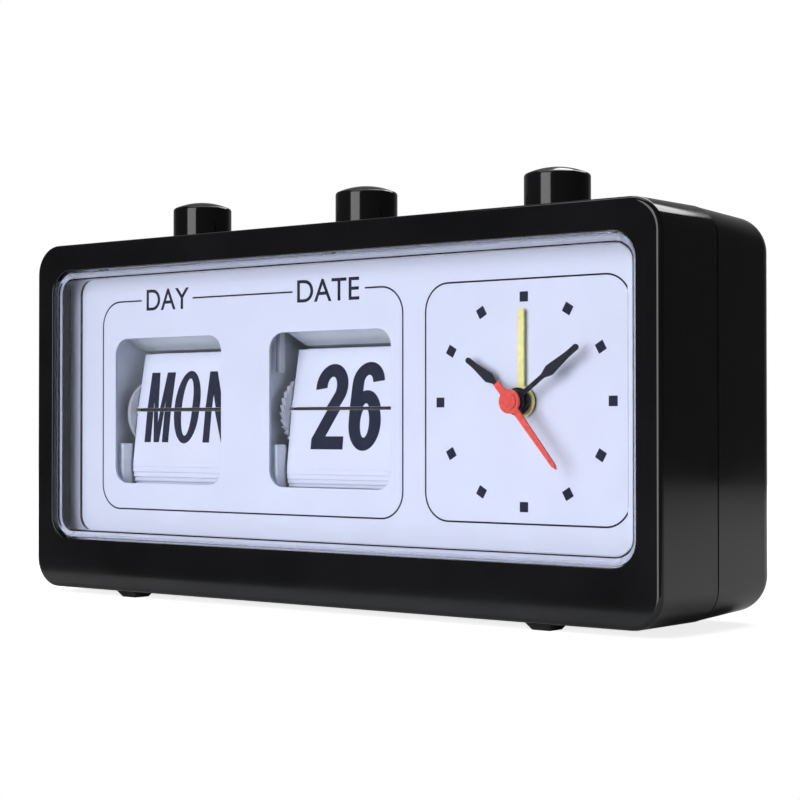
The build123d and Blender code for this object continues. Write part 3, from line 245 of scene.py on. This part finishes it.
def sheet_white(name, color, fibre, strength):
    """Satin white sheet with a soft fibre."""
    material, tree, shader = start(name)
    vary_color(tree, shader, noise(tree, 90.0, 4.0), shade(color, -0.018), shade(color, 0.012))
    vary_roughness(tree, shader, noise(tree, 700.0), 0.42, 0.55)
    add_bump(tree, shader, noise(tree, fibre, 4.0, (0.4, 1.0, 1.0)), strength, 0.01)
    return material


def lacquer(name, color, low=0.22, high=0.34, sheen=0.5):
    """Sprayed lacquer on a stamped hand, or ink with less sheen."""
    material, tree, shader = start(name)
    shader.inputs["Specular IOR Level"].default_value = sheen
    vary_color(tree, shader, noise(tree, 380.0), shade(color, -0.06), shade(color, 0.06))
    vary_roughness(tree, shader, noise(tree, 900.0), low, high)
    add_bump(tree, shader, noise(tree, 1800.0), 0.12, 0.01)
    return material


def metal(name, color, low=0.18, high=0.34, stretch=(1.0, 1.0, 14.0)):
    """Bare metal with drawn streaks."""
    material, tree, shader = start(name)
    shader.inputs["Metallic"].default_value = 1.0
    streaks = noise(tree, 900.0, 4.0, stretch)
    vary_color(tree, shader, streaks, shade(color, -0.12), shade(color, 0.06))
    vary_roughness(tree, shader, streaks, low, high)
    add_bump(tree, shader, streaks, 0.15, 0.01)
    return material


def clear_lens(name):
    """Clear moulded acrylic; shadows and scattered light pass straight through it."""
    material, tree, shader = start(name)
    shader.inputs["Base Color"].default_value = (0.97, 0.975, 1.0, 1.0)
    shader.inputs["Transmission Weight"].default_value = 1.0
    shader.inputs["IOR"].default_value = 1.49
    shader.inputs["Specular Tint"].default_value = (0.1, 0.1, 0.1, 1.0)
    vary_roughness(tree, shader, noise(tree, 60.0), 0.0, 0.02)
    add_bump(tree, shader, noise(tree, 24.0, 2.0), 0.01, 0.02)
    straight = add(tree, "ShaderNodeBsdfTransparent", {"Color": (0.95, 0.955, 0.98, 1.0)})
    mix = add(tree, "ShaderNodeMixShader")
    tree.links.new(either_ray(tree, "Is Shadow Ray", "Is Diffuse Ray"), mix.inputs["Fac"])
    tree.links.new(shader.outputs["BSDF"], mix.inputs[1])
    tree.links.new(straight.outputs["BSDF"], mix.inputs[2])
    tree.links.new(mix.outputs["Shader"], tree.nodes["Material Output"].inputs["Surface"])
    return material


def wound_copper(name):
    """Enamelled wire, turn beside turn, with painted shade darker in the grooves between turns."""
    material, tree, shader = start(name)
    shader.inputs["Metallic"].default_value = 1.0
    turns = waves(tree, 1400.0, "X")
    # Painted shade: the colour follows the turns, darker in the grooves between them and brighter on their crowns.
    vary_color(tree, shader, turns, (0.38, 0.13, 0.05), (0.66, 0.29, 0.14))
    vary_roughness(tree, shader, noise(tree, 900.0), 0.25, 0.4)
    add_bump(tree, shader, turns, 0.6, 0.08)
    return material


def lacquered_board(name):
    """Green circuit board with paler tracks."""
    material, tree, shader = start(name)
    vary_color(tree, shader, waves(tree, 320.0, "Z"), (0.012, 0.10, 0.03), (0.03, 0.22, 0.07))
    vary_roughness(tree, shader, noise(tree, 800.0), 0.25, 0.4)
    add_bump(tree, shader, waves(tree, 320.0, "Z"), 0.2, 0.03)
    return material


case_finish = gloss_black("case_gloss")
ink_finish = lacquer("print_ink", (0.016, 0.020, 0.042), 0.5, 0.65, 0.05)
FINISHES = {
    "case_black": case_finish,
    "button_black": gloss_black("button_gloss"),
    "rubber_black": moulded("foot_rubber", (0.012, 0.012, 0.013), 0.6, 0.75, 0.15, 1500.0, 0.05),
    "lens_clear": clear_lens("lens_acrylic"),
    "dial_white": sheet_white("dial_satin", (0.68, 0.72, 0.87), 1600.0, 0.10),
    "card_white": sheet_white("card_satin", (0.70, 0.735, 0.87), 2600.0, 0.18),
    "frame_white": moulded("frame_moulding", (0.84, 0.90, 0.97)),
    "flange_grey": moulded("flange_moulding", (0.60, 0.63, 0.68)),
    "hub_dark": moulded("hub_moulding", (0.03, 0.03, 0.035)),
    "pawl_grey": moulded("pawl_moulding", (0.55, 0.58, 0.62)),
    "steel": metal("bright_steel", (0.60, 0.60, 0.61)),
    "brass": metal("stamped_brass", (0.72, 0.52, 0.22)),
    "nickel": metal("nickel_plate", (0.72, 0.70, 0.64), 0.1, 0.2),
    "movement_black": moulded("movement_moulding", (0.018, 0.018, 0.020)),
    "bridge_white": moulded("bridge_moulding", (0.70, 0.70, 0.66)),
    "gear_white": moulded("gear_nylon", (0.76, 0.73, 0.62), 0.3, 0.42),
    "magnet_dark": metal("rotor_magnet", (0.12, 0.12, 0.13), 0.4, 0.55),
    "copper": wound_copper("coil_copper"),
    "board_green": lacquered_board("board_lacquer"),
    "cell_wrap": lacquer("cell_sleeve", (0.05, 0.06, 0.09), 0.2, 0.3),
    "hand_black": lacquer("hand_lacquer_black", (0.010, 0.011, 0.018), 0.4, 0.5, 0.1),
    "hand_red": lacquer("hand_lacquer_red", (0.72, 0.052, 0.034)),
    "hand_yellow": lacquer("hand_lacquer_yellow", (0.84, 0.80, 0.31)),
}
for subpart in frame["record"]["subparts"]:
    shown = frame["nodes"][subpart["node"]]
    for place in shown.material_slots:
        place.material = FINISHES[subpart["material_slot"]]


# Button springs, each copied into a coil of its own on the case in place of the imported spring

for label in ("day", "date", "alarm"):
    spring = label + "_button_spring"
    coil = bpy.data.objects.new(label + "_button_coil", frame["nodes"][spring].data.copy())
    bpy.context.scene.collection.objects.link(coil)
    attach(coil, "case")
    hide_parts(spring)
    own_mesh(coil)


# Flat outlines, drawn in x and y

def arc(center, radii, begin, end, steps=ARC_STEPS):
    """Points along part of an ellipse, from one angle in degrees to another."""
    angles = [radians(begin + (end - begin) * step / steps) for step in range(steps + 1)]
    return [(center[0] + radii[0] * cos(a), center[1] + radii[1] * sin(a)) for a in angles]


def oval(center, radii):
    """Closed ellipse."""
    return arc(center, radii, 0.0, 360.0, OVAL_STEPS)[:-1]


# Letters and digits of width w and height h, with upright strokes s wide and level strokes t high

def letter_m(w, h, s, t):
    """M with upright stems and a pointed middle."""
    shoulder = 1.3 * s
    point = 0.42 * s
    valley = 0.30 * h
    fall = (h - valley) / (w / 2 - shoulder)
    notch = (w / 2 - point - s) * fall
    return [[(0, 0), (0, h), (shoulder, h), (w / 2, valley), (w - shoulder, h), (w, h), (w, 0), (w - s, 0),
             (w - s, notch), (w / 2 + point, 0), (w / 2 - point, 0), (s, notch), (s, 0)]]


def letter_o(w, h, s, t):
    """O of two ovals, a little heavier at its sides."""
    center = (w / 2, h / 2)
    side = 1.15 * s
    return [oval(center, (w / 2, h / 2)), oval(center, (w / 2 - side, h / 2 - t))]


def letter_n(w, h, s, t):
    """N with a straight diagonal."""
    shoulder = 1.15 * s
    drop = 0.36 * h
    return [[(0, 0), (0, h), (shoulder, h), (w - s, drop), (w - s, h), (w, h), (w, 0), (w - shoulder, 0),
             (s, h - drop), (s, 0)]]


def letter_t(w, h, s, t):
    """T with a plain bar."""
    left = w / 2 - s / 2
    right = w / 2 + s / 2
    return [[(0, h - t), (0, h), (w, h), (w, h - t), (right, h - t), (right, 0), (left, 0), (left, h - t)]]


def letter_u(w, h, s, t):
    """U with a round foot."""
    bowl = (w / 2, w / 2)
    outer = arc(bowl, (w / 2, w / 2), 180.0, 360.0)
    inner = arc(bowl, (w / 2 - s, w / 2 - t), 360.0, 180.0)
    return [[(0, h)] + outer + [(w, h), (w - s, h)] + inner + [(s, h)]]


def letter_e(w, h, s, t):
    """E with a short middle bar."""
    low = h / 2 - t / 2
    high = h / 2 + t / 2
    reach = 0.9 * w
    return [[(0, 0), (0, h), (w, h), (w, h - t), (s, h - t), (s, high), (reach, high), (reach, low),
             (s, low), (s, t), (w, t), (w, 0)]]


def digit_2(w, h, s, t):
    """2 with a round head, a straight neck and a flat foot."""
    reach = 0.285 * h
    hook_end = 188.0
    neck_start = -38.0
    neck_end = 0.44 * w
    heel = 0.8 * t
    middle = (w / 2, h - reach)
    outer = arc(middle, (w / 2, reach), hook_end, neck_start)
    inner = arc(middle, (w / 2 - s, reach - t), neck_start, hook_end)
    return [outer + [(neck_end, t), (w, t), (w, 0), (0, 0), (0, heel)] + inner]


def digit_6(w, h, s, t):
    """6 with a closed bowl and an open hook."""
    bowl_reach = 0.33 * h
    hook_reach = 0.26 * h
    hook_end = 8.0
    bowl = (w / 2, bowl_reach)
    hook = (w / 2, h - hook_reach)
    join = 360.0 + degrees(acos((s - w / 2) / (w / 2)))
    outer = arc(hook, (w / 2, hook_reach), hook_end, 180.0)
    outer += arc(bowl, (w / 2, bowl_reach), 180.0, join, OVAL_STEPS)
    inner = arc(hook, (w / 2 - s, hook_reach - t), 180.0, hook_end)
    return [outer + inner, oval(bowl, (w / 2 - s, bowl_reach - t))]


def digit_7(w, h, s, t):
    """7 with a flat bar and a straight leg."""
    foot = 0.22 * w
    knee = w - 1.1 * s
    corner = h - 1.1 * t
    return [[(0, h), (w, h), (w, corner), (foot + s, 0), (foot, 0), (knee, h - t), (0, h - t)]]


GLYPHS = {"M": letter_m, "O": letter_o, "N": letter_n, "T": letter_t, "U": letter_u, "E": letter_e,
          "2": digit_2, "6": digit_6, "7": digit_7}


def lettering(text, places, style):
    """Outlines of a word in heavy letters, each between its own left and right."""
    outlines = []
    for character, (left, right) in zip(text, places):
        overshoot = ROUND_OVERSHOOT if character in ROUND_LETTERS else 0.0
        low = style["low"] - overshoot
        height = style["high"] + overshoot - low
        for outline in GLYPHS[character](right - left, height, style["stem"], style["bar"]):
            outlines.append([(left + x, low + y) for x, y in outline])
    return outlines


def frame_path(limits, grow, gap=None):
    """Points round a printed frame, grown outwards; a gap leaves its top edge open."""
    left, right = limits
    radius = FRAME_RADIUS
    corners = ((left + radius, FRAME_HIGH - radius, 90.0), (left + radius, FRAME_LOW + radius, 180.0),
               (right - radius, FRAME_LOW + radius, 270.0), (right - radius, FRAME_HIGH - radius, 360.0))
    points = []
    for x, z, begin in corners:
        points += arc((x, z), (radius + grow, radius + grow), begin, begin + 90.0, CORNER_STEPS)
    if gap:
        points = [(gap[0], FRAME_HIGH + grow)] + points + [(gap[1], FRAME_HIGH + grow)]
    return points


# Ink films

def filled(outlines):
    """Flat mesh between closed outlines, where an outline inside another is a hole."""
    curve = bpy.data.curves.new("outline", "CURVE")
    curve.dimensions = "2D"
    curve.fill_mode = "FRONT"
    for points in outlines:
        spline = curve.splines.new("POLY")
        spline.points.add(len(points) - 1)
        for target, (x, y) in zip(spline.points, points):
            target.co = (x, y, 0.0, 1.0)
        spline.use_cyclic_u = True
    return flat_mesh(curve)


def flat_mesh(curve):
    """Turn a flat curve or text into a mesh and drop the curve."""
    holder = bpy.data.objects.new("outline", curve)
    flat = bpy.data.meshes.new_from_object(holder)
    form = bmesh.new()
    form.from_mesh(flat)
    bpy.data.objects.remove(holder)
    bpy.data.curves.remove(curve)
    bpy.data.meshes.remove(flat)
    bmesh.ops.remove_doubles(form, verts=form.verts, dist=WELD)
    return form


def word(text, limits):
    """Flat mesh of a word in plain letters that fills a box on the dial."""
    curve = bpy.data.curves.new("word", "FONT")
    curve.body = text
    curve.size = WORD_HIGH - WORD_LOW
    curve.offset = WORD_WEIGHT
    curve.resolution_u = WORD_STEPS
    form = flat_mesh(curve)
    xs = [v.co.x for v in form.verts]
    ys = [v.co.y for v in form.verts]
    for v in form.verts:
        v.co.x = limits[0] + (v.co.x - min(xs)) / (max(xs) - min(xs)) * (limits[1] - limits[0])
        v.co.y = WORD_LOW + (v.co.y - min(ys)) / (max(ys) - min(ys)) * (WORD_HIGH - WORD_LOW)
    return form


def ink(name, form, place, body):
    """Thin closed film of ink; place turns flat coordinates and a height into a point."""
    grown = bmesh.ops.extrude_face_region(form, geom=form.faces[:], use_keep_orig=True)
    for item in grown["geom"]:
        if isinstance(item, bmesh.types.BMVert):
            item.co.z = INK_FILM
    for v in form.verts:
        v.co = place(v.co.x, v.co.y, v.co.z + INK_LIFT) * MM
    bmesh.ops.recalc_face_normals(form, faces=form.faces)
    mesh = bpy.data.meshes.new(name)
    form.to_mesh(mesh)
    form.free()
    piece = bpy.data.objects.new(name, mesh)
    bpy.context.scene.collection.objects.link(piece)
    mesh.materials.append(ink_finish)
    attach(piece, body)


# Print on the dial

JOINT_PLACE = {joint["name"]: Vector(joint["pos_m"]) / MM for joint in frame["joints"] if "pos_m" in joint}
dial_center = JOINT_PLACE["minute_turn"]
dial_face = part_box("dial_plate")[0].y / MM


def on_dial(x, z, height):
    """Point on the dial plate."""
    return Vector((x, dial_face - height, z))


half_line = FRAME_LINE / 2
calendar_line = frame_path(CALENDAR_FRAME, half_line, (DAY_GAP[0], DATE_GAP[1]))
calendar_line += frame_path(CALENDAR_FRAME, -half_line, (DAY_GAP[0], DATE_GAP[1]))[::-1]
middle_line = [(DAY_GAP[1], FRAME_HIGH - half_line), (DATE_GAP[0], FRAME_HIGH - half_line),
               (DATE_GAP[0], FRAME_HIGH + half_line), (DAY_GAP[1], FRAME_HIGH + half_line)]
clock_lines = [frame_path(CLOCK_FRAME, half_line), frame_path(CLOCK_FRAME, -half_line)]
markers = []
for hour in range(MARKER_COUNT):
    turn = 2 * pi * hour / MARKER_COUNT
    outward = Vector((sin(turn), cos(turn)))
    across = Vector((cos(turn), -sin(turn)))
    middle = Vector((dial_center.x, dial_center.z)) + outward * MARKER_RING
    corners = ((-1, -1), (1, -1), (1, 1), (-1, 1))
    markers.append([tuple(middle + (across * a + outward * b) * MARKER_SIDE / 2) for a, b in corners])

ink("calendar_frame_print", filled([calendar_line, middle_line]), on_dial, "case")
ink("clock_frame_print", filled(clock_lines), on_dial, "case")
ink("hour_marker_print", filled(markers), on_dial, "case")
ink("day_word_print", word("DAY", DAY_WORD), on_dial, "case")
ink("date_word_print", word("DATE", DATE_WORD), on_dial, "case")


# Print on the cards

def card_surface(label, index, front):
    """Place on a card: 0 drops next, 1 follows it and -1 hangs below; front is its upright face."""
    axis = JOINT_PLACE[label + "_drum_step"]
    spoke = JOINT_PLACE[label + "_card_flip"] - axis
    step = 360.0 / CARD_COUNT[label]
    pivot = axis + Matrix.Rotation(radians(-index * step), 3, "X") @ spoke
    lean = 90.0 + UPPER_LEAN + index * step if index >= 0 else 270.0 + LOWER_LEAN
    along = Vector((0, -cos(radians(lean)), sin(radians(lean))))
    side = 1 if front else -1
    normal = Vector((0, -sin(radians(lean)), -cos(radians(lean)))) * side

    def place(x, y, height):
        return pivot + Vector((x, 0, 0)) + along * side * y + normal * (CARD_THICKNESS / 2 + height)

    return place


def half(form, upper):
    """Keep the part of a flat mesh above or below the split, with the strip on the tail of the card."""
    side = 1 if upper else -1
    geometry = form.verts[:] + form.edges[:] + form.faces[:]
    bmesh.ops.bisect_plane(form, geom=geometry, dist=WELD, plane_co=(0, -side * CARD_TAIL, 0),
                           plane_no=(0, side, 0), clear_inner=True)
    return form


def print_cards(label, now, following, places, style):
    """Halves of the value that shows, and of the next one on the cards that will show it."""
    sheets = ((now, "flip_card_print", True, 0, True, label + "_flip"),
              (now, "lower_card_print", False, -1, False, label + "_drum"),
              (following, "next_card_print", True, 1, True, label + "_drum"),
              (following, "flip_card_back_print", False, 0, False, label + "_flip"))
    for text, name, upper, index, front, body in sheets:
        form = half(filled(lettering(text, places, style)), upper)
        ink(f"{label}_{name}", form, card_surface(label, index, front), body)


print_cards("day", "MON", "TUE", DAY_PLACES, DAY_TEXT)
print_cards("date", "26", "27", DATE_PLACES, DATE_TEXT)


# Studio

def soft_light(name, place, aim, size, radiance, mirrored):
    """Rectangular softbox, not seen by the camera, and seen by gloss only if mirrored."""
    light = bpy.data.lights.new(name, "AREA")
    light.shape = "RECTANGLE"
    light.size, light.size_y = size
    light.energy = radiance * pi * size[0] * size[1]
    lamp = bpy.data.objects.new(name, light)
    lamp.location = place
    lamp.rotation_euler = (Vector(aim) - Vector(place)).to_track_quat("-Z", "Y").to_euler()
    lamp.visible_camera = False
    lamp.visible_glossy = mirrored
    bpy.context.scene.collection.objects.link(lamp)


def make_floor():
    """Pale table top that keeps a soft shadow and turns plain white further out."""
    form = bmesh.new()
    left, right = FLOOR_X
    near, far = FLOOR_Y
    corners = ((left, near), (right, near), (right, far), (left, far))
    form.faces.new([form.verts.new((x, y, 0.0)) for x, y in corners])
    mesh = bpy.data.meshes.new("floor")
    form.to_mesh(mesh)
    form.free()
    floor = bpy.data.objects.new("floor", mesh)
    bpy.context.scene.collection.objects.link(floor)
    material, tree, shader = start("floor_paper")
    shader.inputs["Base Color"].default_value = PAPER_WHITE
    shader.inputs["Roughness"].default_value = PAPER_ROUGHNESS
    shader.inputs["Emission Color"].default_value = PLAIN_WHITE
    coordinates = add(tree, "ShaderNodeTexCoord")
    distance = add(tree, "ShaderNodeVectorMath", operation="LENGTH")
    glow = add(tree, "ShaderNodeMath", operation="MULTIPLY")
    tree.links.new(coordinates.outputs["Object"], distance.inputs[0])
    tree.links.new(remap(tree, distance.outputs["Value"], FADE_DISTANCE, FADE_GLOW), glow.inputs[0])
    tree.links.new(either_ray(tree, "Is Camera Ray", "Is Transmission Ray"), glow.inputs[1])
    tree.links.new(glow.outputs["Value"], shader.inputs["Emission Strength"])
    mesh.materials.append(material)


def make_world():
    """White background, also through glass, and a dim room with a pale backdrop that gloss shows."""
    world = bpy.data.worlds.new("studio")
    bpy.context.scene.world = world
    world.use_nodes = True
    tree = world.node_tree
    background = tree.nodes["Background"]
    background.inputs["Color"].default_value = PLAIN_WHITE
    coordinates = add(tree, "ShaderNodeTexCoord")
    facing = add(tree, "ShaderNodeVectorMath", {1: BACKDROP}, operation="DOT_PRODUCT")
    level = add(tree, "ShaderNodeMix", {"B": 1.0})
    tree.links.new(coordinates.outputs["Generated"], facing.inputs[0])
    room = remap(tree, facing.outputs["Value"], BACKDROP_SPREAD, (ROOM_LEVEL, BACKDROP_LEVEL))
    tree.links.new(either_ray(tree, "Is Camera Ray", "Is Transmission Ray"), level.inputs["Factor"])
    tree.links.new(room, level.inputs["A"])
    tree.links.new(level.outputs["Result"], background.inputs["Strength"])


def make_camera():
    """Camera at the photograph's place, for a square picture."""
    data = bpy.data.cameras.new("camera")
    data.lens = CAMERA_LENS
    data.sensor_width = CAMERA_SENSOR
    camera = bpy.data.objects.new("camera", data)
    camera.location = Vector(CAMERA_PLACE) * MM
    camera.rotation_euler = Vector(CAMERA_AIM).to_track_quat("-Z", "Y").to_euler()
    bpy.context.scene.collection.objects.link(camera)
    bpy.context.scene.camera = camera


make_floor()
make_world()
make_camera()
for name, (place, aim, size, radiance, mirrored) in SOFTBOXES.items():
    soft_light(name, place, aim, size, radiance, mirrored)
bpy.context.scene.view_settings.view_transform = "Standard"
